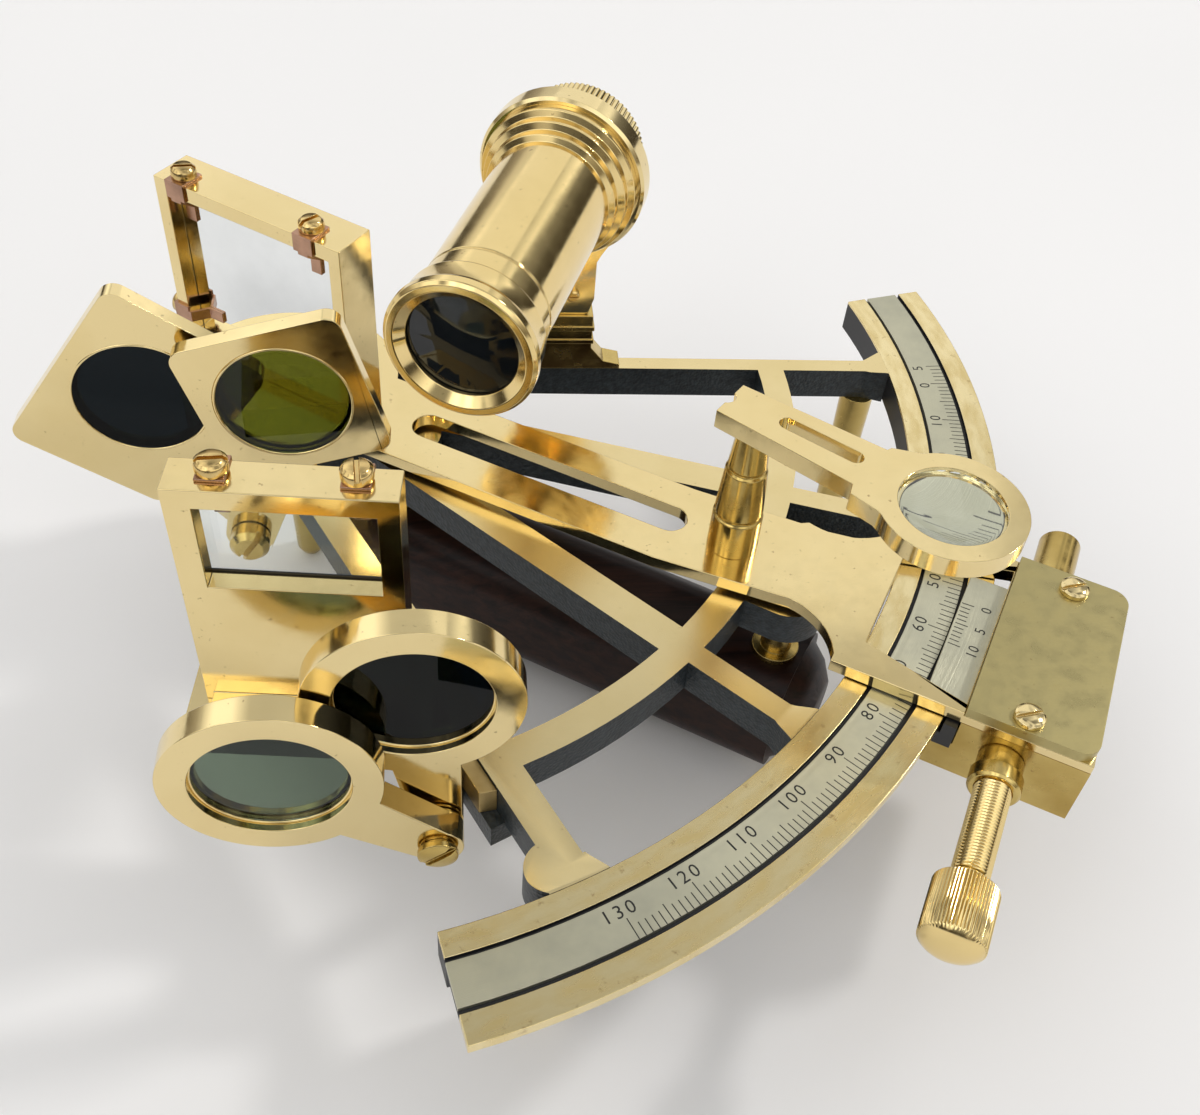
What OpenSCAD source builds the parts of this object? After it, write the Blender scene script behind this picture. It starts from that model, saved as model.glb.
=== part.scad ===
/* [Limb] */
// Outside radius of the graduated limb
limb_r = 160; // [152:1:172]
// Inside radius of the graduated limb
limb_in_r = 140.4; // [136:0.1:144]
// Thickness of the limb at its outer edge
limb_t = 2.5; // [2:0.1:4]
// Depth of the rib along the limb's inner edge
rib_h = 8; // [6:0.5:11]
// Radial width of that rib
rib_w = 6; // [4:0.5:8]
// Radial width of the silver scale
scale_w = 7.9; // [6:0.1:9]
// Thickness of the silver scale
scale_t = 0.9; // [0.5:0.1:1.3]
// Width of the groove inside the scale
groove_in = 0.7; // [0.4:0.1:1]
// Width of the groove outside the scale
groove_out = 0.9; // [0.4:0.1:1.2]
// Height of the limb's top face above the table
limb_z = 52; // [50:1:62]

/* [Frame] */
// Depth of the cast bars
bar_h = 8; // [6:0.5:10]
// Step from the limb's top face down to the bars
bar_drop = 0.8; // [0.4:0.1:1.5]
// Width of the near side bar
near_bar_w = 6.2; // [5:0.1:8]
// Width of the far side bar
far_bar_w = 4; // [3.5:0.5:6]
// Width of the inner struts
strut_w = 7.5; // [5:0.5:9]
// Width of the outer struts, between ring and limb
outer_strut_w = 5; // [4:0.5:7]
// Inside radius of the ring bar
ring_in_r = 109; // [104:1:114]
// Width of the ring bar
ring_w = 6.2; // [5:0.1:8]
// Radius of the hub
hub_r = 24; // [22:0.5:26]

/* [Index arm] */
// Direction of the index arm
arm_angle = -30.4; // [-32:0.1:-29]
// Thickness of the arm's plate
arm_t = 2.9; // [2.4:0.1:3.4]
// Running gap between the arm and the limb
arm_gap = 0.3; // [0.2:0.05:0.5]
// Radius of the pivot pin
pivot_r = 5; // [4:0.5:6]
// Width of the arm's long slot
arm_slot_w = 7.3; // [5:0.1:8]

/* [Index mirror] */
// Length of the index mirror's frame
imirror_l = 47.8; // [42:0.1:52]
// Height of the index mirror's frame
imirror_h = 42.4; // [36:0.1:46]
// Thickness of the index mirror's frame
imirror_t = 10; // [9:0.5:11]

/* [Horizon mirror] */
// Length of the horizon mirror's frame
hmirror_l = 37; // [34:0.5:40]
// Height of the horizon mirror's frame
hmirror_h = 52.5; // [48:0.5:56]
// Thickness of the horizon mirror's frame
hmirror_t = 7.4; // [7:0.1:8]

/* [Shades] */
// Side of the square shade plates
shade_side = 33; // [30:0.5:34.5]
// Radius of the glasses in the square plates
shade_glass_r = 13; // [11:0.1:13.8]
// Outside radius of the round shades
round_r = 18.3; // [16.5:0.1:19]
// Radius of the glasses in the round shades
round_glass_r = 13.2; // [12:0.1:14]
// Thickness of the square plates
plate_t = 3.5; // [3:0.1:3.7]
// Thickness of the round shades
round_t = 5; // [4.4:0.1:5.2]

/* [Telescope] */
// Outside radius of the telescope's tube
tube_r = 12.5; // [12:0.1:13]
// Height of the telescope's axis above the limb
scope_z = 50.9; // [48:0.1:54]
// Radius of the objective's rim
rim_r = 14.4; // [14:0.1:15.4]
// Outside radius of the telescope's collar
collar_r = 17.7; // [17.3:0.1:18.8]

/* [Magnifier] */
// Height of the magnifier's post
mag_post_h = 32; // [28:0.5:36]
// Outside radius of the magnifier's ring
mag_ring_r = 13.5; // [12.8:0.1:14.5]
// Radius of the magnifier's lens
mag_lens_r = 9.7; // [9:0.1:10.6]

/* [Tangent block] */
// Length of the block across the arm
block_w = 44; // [40:1:46]
// Radial depth of the block outside the limb
block_d = 24.3; // [23:0.1:26]
// Radius of the tangent screw
tangent_r = 3.5; // [3.1:0.1:4]
// Radius of the tangent screw's knob
knob_r = 6; // [5.4:0.1:7]

/* [Handle and legs] */
// Length of the wooden grip
grip_l = 120; // [110:1:124]
// Thickness of the wooden grip
grip_d = 28; // [24:0.5:30]
// Radius of a leg at its top
leg_r = 4; // [3.5:0.1:4.6]

/* [Hidden] */
$fn = 96;
fit = 0.05;
eps = 0.01;
limb_a0 = -76.55;
limb_span = 90;
mid_a = limb_a0 + limb_span / 2;
scale_in_r = 145.9;
scale_out_r = scale_in_r + scale_w;
top = limb_z;
bar_top = top - bar_drop;
bar_bot = bar_top - bar_h;
ring_out_r = ring_in_r + ring_w;
near_a = -67.3;
strut_da = 12.9;
foot_r = limb_in_r - 5;
near_p0 = [-7.8, -4];
near_p1 = [54.6, -124.8];
near_bar_a = atan2(near_p1[1] - near_p0[1], near_p1[0] - near_p0[0]);
near_leg_p = [52.3, -125.4];
far_leg_p = [135.2, 7.4];
far_p0 = [0, 10.2];
far_p1 = [foot_r, 7.6];
lug_r = 121.7;
lug_hub_r = 30;
post_r = 3.2;
grip_x0 = 14;
grip_z = top - 34;
cup_r = 13;
cup_z = bar_bot - 10.2;
cup_floor = 2.4;
arm_z = top + arm_gap;
arm_top = arm_z + arm_t;
lap_t = 2.1;
lap_top = arm_z + lap_t;
cover_t = 2.4;
block_x0 = limb_r + 2;
block_x1 = block_x0 + block_d;
block_y0 = -20;
block_y1 = block_y0 + block_w;
block_bot = top - 14.5;
block_taper = 2;
jaw_x0 = 151;
jaw_top = top - 6.4;
cavity_x0 = block_x0 + 3.2;
cavity_x1 = block_x1 - block_taper - 3;
cavity_z = block_bot + 2.6;
screw_x = block_x0 + 8.8;
screw_y = -5;
screw_turn = 2;
screw_end_r = tangent_r - 0.9;
flange_gap = 0.25;
screw_z = top - 5.6;
shoe_y0 = -21.5;
shoe_y1 = 16;
shoe_gap = 0.5;
clamp_x = 155.2;
clamp_r = 2.5;
clamp_slot = 3.6;
window_x0 = limb_in_r - 0.2;
window_x1 = block_x0 - 0.3;
vernier_x0 = scale_out_r + 0.2;
vernier_t = 1;
mirror_skew = -4.6;
imirror_x0 = -27;
imirror_y0 = -4.2;
imirror_wall = 3;
imirror_back = 3.5;
mglass_t = 3;
imirror_top = arm_top + imirror_h;
side_clip_z = 8.5;
mag_x = 107.5;
mag_a = -10.2;
mag_t = 4;
mag_z = arm_top + mag_post_h;
mag_l = 40;
mag_y = -0.6;
hm_p = [-8.8, -88];
hm_a = -5.4;
hm_top = bar_top + hmirror_h;
hglass_y = 4;
hs_x = 32.6;
hs_z = top - 9.6;
hs_y = -104.8;
shade_l = 33.6;
front_lean = -52.3;
rear_lean = -5.3;
round_gap = 0.8;
is_x = -5.5;
is_z = top - 4.5;
is_y = -32.6;
square_l = 35.5;
left_low = 6.5;
left_high = 3;
left_turn = 24;
right_turn = 32;
left_lean = -29.9;
right_lean = 16.2;
square_gap = 1.9;
stud_r = 2.2;
scope_p = [37.5, -53.5];
scope_a = 69.4;
collar_t0 = 61;
collar_t = 5.6;
collar_x = scope_p[0] + cos(scope_a) * (collar_t0 + collar_t / 2);
socket_h = 15;
socket_y = 9.3;
stem_w = 13;
stem_t = 3.6;
leg_w = 16.8;
leg_z = bar_top + socket_h + 0.3;
tube_in_r = tube_r - 1;
axis_z = top + scope_z;

// Ring sector from the pivot's axis, between two radii and two heights
module sector(r0, r1, z0, z1, a0, span) {
  rotate([0, 0, a0])
    rotate_extrude(angle = span, $fn = 180)
      translate([r0, z0]) square([r1 - r0, z1 - z0]);
}

// Plan shape with round corners
module round_rect(w, h, r) {
  translate([r, 0]) square([w - 2 * r, h]);
  translate([0, r]) square([w, h - 2 * r]);
  for (x = [r, w - r], y = [r, h - r]) translate([x, y]) circle(r);
}

module in_arm() { rotate([0, 0, arm_angle]) children(); }

module in_mirror() { in_arm() rotate([0, 0, mirror_skew]) children(); }

module in_horizon() { translate([hm_p[0], hm_p[1], 0]) rotate([0, 0, hm_a]) children(); }

// Axis of the telescope along local +Z, from the objective to the eye
module in_scope() {
  translate([scope_p[0], scope_p[1], axis_z])
    rotate([0, 0, scope_a]) rotate([0, 90, 0]) children();
}

// Swings a shade about its stud: local XY is the shade's face, local +Z points to the viewer
module swing(x, y, z, lean) {
  translate([x, y, z]) rotate([90, 0, 0]) rotate([0, 0, -lean]) children();
}

module slotted_head(r, h, slot) {
  difference() {
    union() {
      cylinder(r = r, h = h * 0.7);
      translate([0, 0, h * 0.7]) cylinder(r1 = r, r2 = r * 0.72, h = h * 0.3);
    }
    translate([-r - 1, -slot / 2, h * 0.5]) cube([2 * r + 2, slot, h]);
  }
}

module limb() {
  color("#d9b65a") difference() {
    union() {
      sector(limb_in_r, limb_r, top - limb_t, top, limb_a0, limb_span);
      sector(limb_in_r, limb_in_r + rib_w, top - rib_h, top - limb_t + eps, limb_a0, limb_span);
    }
    sector(scale_in_r - groove_in, scale_out_r + groove_out, top - scale_t - 0.1, top + 1,
      limb_a0 - 1, limb_span + 2);
  }
}

module scale_strip() {
  color("#b9b9a8")
    sector(scale_in_r, scale_out_r, top - scale_t - 0.1, top - 0.1, limb_a0, limb_span);
}

// Plan of one bar with a straight centre line
module bar_plan(p, q, w) {
  d = q - p;
  translate(p) rotate(atan2(d[1], d[0])) translate([0, -w / 2]) square([norm(d) + 8, w]);
}

// Foot of a bar where it widens into the limb
module foot_plan(a, w) {
  rotate(a) polygon([[foot_r, -w / 2], [limb_in_r + 1, -w / 2 - 2.6], [limb_in_r + 1, w / 2 + 2.6],
    [foot_r, w / 2]]);
}

module ring_plan() {
  difference() {
    circle(ring_out_r, $fn = 180);
    circle(ring_in_r, $fn = 180);
    polygon([[0, 0], 300 * [cos(near_a), sin(near_a)], [-300, -300], [-300, 300], [300, 300],
      300 * [cos(3.4), sin(3.4)]]);
  }
}

module bars_plan() {
  ring_plan();
  bar_plan(near_p0, near_p1, near_bar_w);
  bar_plan(far_p0, far_p1, far_bar_w);
  foot_plan(-66.4, near_bar_w + 1);
  foot_plan(3.2, far_bar_w);
  for (s = [-1, 1]) rotate(mid_a + s * strut_da) {
    translate([hub_r - 4, -strut_w / 2]) square([ring_in_r + 2 - hub_r + 4, strut_w]);
    translate([ring_in_r, -outer_strut_w / 2]) square([limb_in_r - ring_in_r + 2, outer_strut_w]);
  }
  for (s = [-1, 1]) foot_plan(mid_a + s * strut_da, outer_strut_w);
}

module post_lug_plan() {
  circle(8);
  translate([-9.5, -8]) square([9.5, 16]);
}

module frame_plan() {
  intersection() {
    union() {
      circle(hub_r);
      bars_plan();
      rotate(mid_a) for (r = [lug_r, lug_hub_r]) translate([r, 0]) post_lug_plan();
      translate(near_leg_p) circle(5.4);
      translate(hm_p) rotate(hm_a) translate([-3, -5.5]) square([44, 18]);
      translate([is_x - 4.8, -26]) square([9.6, 12]);
    }
    circle(limb_in_r, $fn = 180);
  }
}

// Lowers the bars between the hub and the limb, with a slope up to the limb
module bar_lowering() {
  rotate_extrude($fn = 180)
    polygon([[hub_r + eps, bar_top], [limb_in_r - 4, bar_top], [limb_in_r - 0.6, top],
      [limb_in_r - 0.6, top + 1], [hub_r + eps, top + 1]]);
}

module frame() {
  color("#262b30") difference() {
    union() {
      difference() {
        translate([0, 0, bar_bot]) linear_extrude(top - bar_bot) frame_plan();
        bar_lowering();
      }
      translate([hs_x - 6, hs_y + 0.5, bar_bot - 5]) cube([9.6, 12, bar_h + 3]);
      at_near_bar() translate([106, -near_bar_w / 2 - 2.9, bar_bot - 4.5]) cube([14, 6, 5.5]);
    }
    translate([0, 0, bar_bot - 1]) cylinder(r = pivot_r + fit, h = bar_h + 4);
    translate([hs_x, hs_y + 12, hs_z]) rotate([90, 0, 0]) cylinder(r = stud_r, h = 14);
    translate([is_x, -15, is_z]) rotate([90, 0, 0]) cylinder(r = stud_r, h = 14);
    for (s = [10, 27]) in_horizon()
      translate([s, hmirror_t / 2, bar_bot - 1]) cylinder(r = 1.6, h = bar_h + 2);
  }
}

module leg(x, y) {
  color("#cfa445") translate([x, y, 0]) {
    translate([0, 0, 2]) cylinder(r1 = leg_r - 0.6, r2 = leg_r, h = bar_bot - 2);
    cylinder(r1 = leg_r - 1.6, r2 = leg_r - 0.6, h = 2);
  }
}

// Leg under the pivot, with a cup that covers the pivot's nut
module hub_leg() {
  color("#cfa445") difference() {
    union() {
      cylinder(r1 = leg_r - 1.6, r2 = leg_r - 0.6, h = 2);
      translate([0, 0, 2]) cylinder(r1 = leg_r - 0.6, r2 = leg_r, h = cup_z - 2 + eps);
      translate([0, 0, cup_z]) cylinder(r1 = cup_r - 1.2, r2 = cup_r, h = 1.2);
      translate([0, 0, cup_z + 1.2]) cylinder(r = cup_r, h = bar_bot - cup_z - 1.2);
    }
    translate([0, 0, cup_z + cup_floor]) cylinder(r = cup_r - 3, h = bar_bot);
  }
}

module far_leg() { leg(far_leg_p[0], far_leg_p[1]); }

module near_leg() { leg(near_leg_p[0], near_leg_p[1]); }

module at_posts() {
  for (r = [lug_r, lug_hub_r]) rotate([0, 0, mid_a]) translate([r, 0, 0]) children();
}

module handle_grip() {
  r = grip_d * 0.36;
  color("#3a1c14") difference() {
    rotate([0, 0, mid_a]) translate([grip_x0, 0, grip_z]) {
      translate([6, -grip_d / 2, -grip_d / 2]) rotate([90, 0, 90])
        linear_extrude(grip_l - 12) round_rect(grip_d, grip_d, r);
      translate([2.5, 0, 0]) rotate([0, 90, 0]) cylinder(r1 = grip_d / 2 - 3, r2 = grip_d / 2, h = 3.5);
      rotate([0, 90, 0]) cylinder(r1 = grip_d / 2 - 7, r2 = grip_d / 2 - 3, h = 2.5);
      translate([grip_l - 6, 0, 0]) rotate([0, 90, 0])
        cylinder(r1 = grip_d / 2, r2 = grip_d / 2 - 3, h = 3.5);
      translate([grip_l - 2.5, 0, 0]) rotate([0, 90, 0])
        cylinder(r1 = grip_d / 2 - 3, r2 = grip_d / 2 - 7, h = 2.5);
    }
    at_posts() {
      translate([0, 0, grip_z - grip_d]) cylinder(r = post_r, h = 2 * grip_d);
      translate([0, 0, grip_z - grip_d]) cylinder(r = 5.2, h = grip_d / 2 + 3.5);
    }
  }
}

module handle_posts() {
  color("#cfa445") at_posts() {
    translate([0, 0, grip_z - grip_d / 2 + 3.5])
      cylinder(r = post_r, h = bar_bot - grip_z + grip_d / 2 - 3.5);
    translate([0, 0, grip_z + grip_d / 2]) cylinder(r = 5, h = 1.6);
  }
}

module handle_nuts() {
  color("#cfa445") at_posts()
    translate([0, 0, grip_z - grip_d / 2 + 0.8]) cylinder(r = 5, h = 2.7);
}

module arm_outline() {
  difference() {
    union() {
      circle(hub_r);
      polygon([[14, -12.2], [95, -12], [124, -8.9], [window_x0 + 2, -12], [window_x0 + 2, 16],
        [124, 12.6], [95, 10.6], [14, 10.6]]);
      polygon([[window_x0 - 4.6, block_y0], [block_x1, block_y0], [block_x1 - block_taper, block_y1],
        [window_x0 - 4.6, block_y1]]);
      difference() {
        polygon([[118, -14], [window_x0 - 4.4, block_y0], [window_x0 - 4.4, block_y1], [118, 12.1]]);
        translate([122, -23.5]) circle(14.6);
        translate([124, 27.2]) circle(14.6);
      }
    }
    translate([36, 0]) circle(arm_slot_w / 2);
    translate([93.5, 0]) circle(arm_slot_w / 2);
    translate([36, -arm_slot_w / 2]) square([57.5, arm_slot_w]);
    polygon([[window_x0, -12.4], [window_x1, -17.6], [window_x1, 20.5], [window_x0, 14.4]]);
  }
}

module index_arm() {
  color("#dcbc62") in_arm() difference() {
    translate([0, 0, arm_z]) linear_extrude(arm_t) arm_outline();
    translate([block_x0, block_y0 - 1, lap_top]) cube([block_d + 2, block_w + 2, 3]);
    translate([vernier_x0 - 0.2, -17.2, arm_z - 1])
      cube([window_x1 + 4.4 - vernier_x0, 34.4, vernier_t + 1.1]);
    translate([0, 0, arm_z - 1]) cylinder(r = pivot_r - 1.5, h = arm_t + 2);
  }
}

module vernier_plate() {
  color("#b9b9a8") in_arm()
    translate([vernier_x0, -17, arm_z + 0.1]) cube([window_x1 + 4 - vernier_x0, 34, vernier_t]);
}

module pivot_pin() {
  color("#cfa445") {
    translate([0, 0, bar_bot - 7]) cylinder(r = pivot_r - 1, h = 6 + eps);
    translate([0, 0, bar_bot - 1]) cylinder(r = pivot_r, h = arm_z - bar_bot + 1);
    translate([0, 0, arm_z]) cylinder(r = pivot_r - 1.5, h = arm_t - 0.2);
  }
}

module pivot_nut() {
  color("#cfa445") translate([0, 0, bar_bot - 5.2]) difference() {
    union() {
      cylinder(r = 7, h = 3.2);
      translate([0, 0, 3]) cylinder(r = 8.5, h = 1.9);
    }
    translate([0, 0, -1]) cylinder(r = pivot_r - 1, h = 5.2);
    translate([0, 0, 4.1]) cylinder(r = pivot_r + fit, h = 2);
  }
}

module index_mirror_frame() {
  w = imirror_wall;
  color("#dcbc62") in_mirror() difference() {
    translate([imirror_x0, imirror_y0, arm_top]) cube([imirror_l, imirror_t, imirror_h]);
    translate([imirror_x0 + w, imirror_y0 - 1, arm_top + w + 0.6])
      cube([imirror_l - 2 * w, imirror_t + 1 - imirror_back, imirror_h - 2 * w - 1]);
  }
}

module index_mirror_glass() {
  w = imirror_wall + 0.15;
  y = imirror_y0 + imirror_t - imirror_back - mglass_t;
  color("#c8d4d8") in_mirror()
    translate([imirror_x0 + w, y, arm_top + imirror_wall + 0.6])
      cube([imirror_l - 2 * w, mglass_t, imirror_h - 2 * imirror_wall - 1.2]);
}

// Spring clip in its own frame: origin on the edge, over the top and down on to the glass
module clip(reach) {
  t = 0.6;
  translate([-2.4, 0, 0]) rotate([90, 0, 90]) linear_extrude(4.8)
    polygon([[5.4, 0], [5.4, t], [-t, t], [-t, -3.4], [0, -3.4], [0, 0]]);
  translate([-1.3, 0, 0]) rotate([90, 0, 90]) linear_extrude(2.6)
    polygon([[-t, -3.3], [-t, -4], [reach - t, -6.4], [reach - t, -10], [reach, -10], [reach, -6],
      [0, -3.6], [0, -3.3]]);
}

module index_mirror_clips() {
  reach = imirror_t - imirror_back - mglass_t;
  color("#b0683c") in_mirror() {
    for (x = [6, 39]) translate([imirror_x0 + x, imirror_y0, imirror_top]) clip(reach);
    translate([imirror_x0, imirror_y0, arm_top + side_clip_z]) rotate([0, -90, 0]) clip(reach);
  }
}

module index_clip_screws() {
  color("#e0b44e") in_mirror() {
    for (x = [6, 39]) translate([imirror_x0 + x, imirror_y0 + 2.8, imirror_top + 0.6])
      rotate([0, 0, 35 + x]) slotted_head(2.6, 2.4, 0.8);
    translate([imirror_x0 - 0.6, imirror_y0 + 2.8, arm_top + side_clip_z]) rotate([0, -90, 0])
      slotted_head(2.6, 2.4, 0.8);
  }
}

module magnifier_post() {
  h = mag_post_h;
  color("#cfa445") in_arm() translate([mag_x, 0, arm_top])
    rotate_extrude() polygon([[0, 0], [5.2, 0], [5.1, 0.27 * h], [4.7, 0.285 * h], [4.7, 0.3 * h],
      [4.9, 0.31 * h], [4.2, 0.64 * h], [3.7, 0.655 * h], [3.7, 0.67 * h], [3.9, 0.68 * h],
      [3, h], [2, h], [2, h + mag_t - 0.5], [0, h + mag_t - 0.5]]);
}

module magnifier_outline() {
  difference() {
    union() {
      polygon([[-5.6, -6], [23.6, -7.2], [24.4, -9.6], [30, -10.3], [35, -12.7], [mag_l, -12.4],
        [mag_l, 10.8], [35, 11], [30.6, 8.6], [24.6, 5.9], [24.2, 4.9], [-5.6, 3.5]]);
      translate([mag_l, mag_y]) circle(mag_ring_r);
    }
    translate([-6.4, -1.3]) circle(1.9);
    translate([6.6, -0.6]) circle(1.6);
    translate([20.6, -0.6]) circle(1.6);
    translate([6.6, -2.2]) square([14, 3.2]);
    translate([mag_l, mag_y]) circle(mag_lens_r);
  }
}

module in_magnifier() {
  in_arm() translate([mag_x, 0, mag_z]) rotate([0, 0, mag_a]) children();
}

module magnifier_arm() {
  color("#dcbc62") in_magnifier() difference() {
    linear_extrude(mag_t) magnifier_outline();
    translate([mag_l, mag_y, 0.8]) cylinder(r = mag_lens_r + 0.6, h = mag_t - 1.6);
    translate([0, 0, -1]) cylinder(r = 2 + fit, h = mag_t + 0.5);
  }
}

module magnifier_lens() {
  color("#cfdcdc") in_magnifier() translate([mag_l, mag_y, 0.85])
    cylinder(r = mag_lens_r + 0.55, h = mag_t - 1.7);
}

// Axis of the tangent screw along local Y, which is a little off square to the arm
module at_screw() { translate([screw_x, screw_y, screw_z]) rotate([0, 0, screw_turn]) children(); }

module tangent_block() {
  color("#cfa445") in_arm() difference() {
    union() {
      translate([0, 0, block_bot]) linear_extrude(arm_z - block_bot)
        polygon([[block_x0, block_y0], [block_x1, block_y0], [block_x1 - block_taper, block_y1],
          [block_x0, block_y1]]);
      translate([jaw_x0, block_y0, block_bot]) cube([block_x0 - jaw_x0 + eps, block_w, jaw_top - block_bot]);
    }
    translate([cavity_x0, block_y0 + 6, cavity_z])
      cube([cavity_x1 - cavity_x0, block_w - 12, arm_z]);
    translate([block_x0 - 1, block_y0 + 6, jaw_top - 0.6]) cube([6, block_w - 12, 6.4]);
    at_screw() translate([0, block_y0 - screw_y - 1, 0]) rotate([-90, 0, 0])
      cylinder(r = tangent_r + 0.6, h = 8);
    at_screw() translate([0, block_y1 - screw_y + 1, 0]) rotate([90, 0, 0])
      cylinder(r = tangent_r + 0.6, h = 8);
    for (y = [-clamp_slot, clamp_slot]) translate([clamp_x, y, block_bot - 1])
      cylinder(r = clamp_r + 0.4, h = 12);
    translate([clamp_x - clamp_r - 0.4, -clamp_slot, block_bot - 1])
      cube([2 * clamp_r + 0.8, 2 * clamp_slot, 12]);
    for (p = cover_screw_at) translate([p[0], p[1], top - 6]) cylinder(r = 1.5, h = 8);
  }
}

cover_screw_at = [[block_x0 + 10.8, block_y0 + 3.2], [block_x0 + 11.6, block_y1 - 4.4]];

// Plan of the cover: the outer side slants and has two round corners
module cover_plan() {
  r = 3.6;
  k = block_taper / block_w;
  n = sqrt(1 + k * k);
  near_x = block_x1 - r * (k + n);
  far_x = block_x1 - k * (block_w - r) - r * n;
  polygon([[block_x0, block_y0], [near_x, block_y0], [near_x + r / n, block_y0 + r + r * k / n],
    [far_x + r / n, block_y1 - r + r * k / n], [far_x, block_y1], [block_x0, block_y1]]);
  translate([near_x, block_y0 + r]) circle(r);
  translate([far_x, block_y1 - r]) circle(r);
}

module cover_plate() {
  color("#cdb263") in_arm() difference() {
    translate([0, 0, lap_top]) linear_extrude(cover_t) cover_plan();
    for (p = cover_screw_at) translate([p[0], p[1], lap_top - 1]) cylinder(r = 1.5, h = 5);
  }
}

module cover_screws() {
  color("#d8c98a") in_arm()
    for (p = cover_screw_at) translate([p[0], p[1], lap_top + cover_t]) {
      rotate([0, 0, 40]) slotted_head(2.9, 1.5, 0.8);
      translate([0, 0, -cover_t]) cylinder(r = 1.5, h = cover_t + eps);
    }
}

module screw_bush() {
  color("#cfa445") in_arm() at_screw() translate([0, block_y0 - screw_y, 0]) rotate([90, 0, 0])
    difference() {
      union() {
        translate([0, 0, -5]) cylinder(r = tangent_r + 0.6, h = 6);
        translate([0, 0, flange_gap]) cylinder(r = tangent_r + 0.9, h = 4);
        translate([0, 0, 4]) cylinder(r = tangent_r + 1.5, h = 3);
        translate([0, 0, 7]) cylinder(r1 = tangent_r + 1.5, r2 = tangent_r + 1, h = 0.6);
      }
      translate([0, 0, -6]) cylinder(r = tangent_r + fit, h = 15);
    }
}

module end_sleeve() {
  color("#cfa445") in_arm() at_screw() translate([0, block_y1 - screw_y, 0]) rotate([-90, 0, 0])
    difference() {
      union() {
        translate([0, 0, -5]) cylinder(r = tangent_r + 0.6, h = 6);
        translate([0, 0, flange_gap]) cylinder(r = tangent_r + 0.9, h = 18.3);
        translate([0, 0, 18.5]) cylinder(r1 = tangent_r + 0.9, r2 = tangent_r + 0.2, h = 0.8);
      }
      translate([0, 0, -6]) cylinder(r = screw_end_r + fit, h = 16);
    }
}

module tangent_screw() {
  color("#cfa445") in_arm() at_screw() translate([0, block_y0 - screw_y, 0]) rotate([90, 0, 0]) {
    translate([0, 0, 2 - block_w]) cylinder(r = screw_end_r, h = 6);
    translate([0, 0, 6.3 - block_w]) cylinder(r = tangent_r, h = block_w + 23.3);
    translate([0, 0, 29]) cylinder(r1 = knob_r - 0.6, r2 = knob_r, h = 0.6);
    translate([0, 0, 29.6]) cylinder(r = knob_r, h = 11.4);
    translate([0, 0, 41]) cylinder(r1 = knob_r, r2 = knob_r - 0.9, h = 0.9);
    translate([0, 0, 41.9]) cylinder(r1 = knob_r - 0.9, r2 = knob_r - 3, h = 0.8);
  }
}

module clamp_shoe() {
  w = shoe_y1 - shoe_y0;
  color("#17191b") in_arm() difference() {
    union() {
      translate([jaw_x0 + 0.5, shoe_y0, jaw_top + 0.2])
        cube([limb_r + 1.2 - jaw_x0, 12, top - 0.1 - jaw_top - 0.2]);
      translate([jaw_x0 + 0.5, -11, jaw_top + 0.2])
        cube([limb_r + 1.2 - jaw_x0, shoe_y1 + 7, top - 0.1 - jaw_top - 0.2]);
      translate([limb_r + 1, -5.5, jaw_top + 0.2]) cube([5, 11, 4.6]);
      translate([cavity_x0 + 0.3, -5.5, cavity_z + 0.4]) cube([11, 11, 11]);
    }
    rotate([0, 0, -arm_angle])
      translate([0, 0, top - limb_t - 0.3]) cylinder(r = limb_r + shoe_gap, h = 5, $fn = 180);
    at_screw() translate([0, -3, 0]) rotate([-90, 0, 0]) cylinder(r = tangent_r + fit, h = 16);
    translate([clamp_x, 0, jaw_top - 1]) cylinder(r = clamp_r + fit, h = 6);
  }
}

module clamp_screw() {
  color("#cfa445") in_arm() translate([clamp_x, 0, 0]) {
    translate([0, 0, block_bot - 1]) cylinder(r = clamp_r, h = top - limb_t - 0.35 - block_bot + 1);
    translate([0, 0, block_bot - 9]) cylinder(r = 6.5, h = 8);
    translate([0, 0, block_bot - 9.8]) cylinder(r1 = 5.6, r2 = 6.5, h = 0.8);
    translate([0, 0, block_bot - 1]) cylinder(r = 5, h = 0.7);
  }
}

module horizon_mirror_frame() {
  l = hmirror_l;
  color("#dcbc62") in_horizon() difference() {
    union() {
      translate([0, 0, bar_top]) cube([l, hmirror_t, hmirror_h]);
      translate([1.5, -3, bar_top]) cube([18, 3 + eps, 2]);
    }
    translate([4.6, -1, hm_top - 22.1]) cube([l - 8.2, hmirror_t + 2, 18.1]);
    translate([3, hglass_y - 0.3, hm_top - 34.6]) cube([l - 6, hmirror_t, 32.6]);
    for (s = [10, 27]) translate([s, hmirror_t / 2, bar_top - 1]) cylinder(r = 1.6, h = 8);
  }
}

module horizon_glass() {
  color("#c8d4d8") in_horizon()
    translate([3.1, hglass_y, hm_top - 34.6]) cube([hmirror_l - 6.2, mglass_t, 32.4]);
}

module horizon_silvering() {
  color("#191c20") in_horizon()
    translate([3.1, hglass_y - 0.3, hm_top - 34.6]) cube([hmirror_l - 6.2, 0.3, 13]);
}

module horizon_clips() {
  color("#b0683c") in_horizon()
    for (s = [7.5, 30]) translate([s, hmirror_t, hm_top]) rotate([0, 0, 180])
      clip(hmirror_t - hglass_y - mglass_t);
}

module horizon_clip_screws() {
  color("#e0b44e") in_horizon()
    for (s = [7.5, 30]) translate([s, hmirror_t - 2.8, hm_top + 0.6]) rotate([0, 0, 4 * s - 20])
      slotted_head(2.7, 2.4, 0.8);
}

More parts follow.
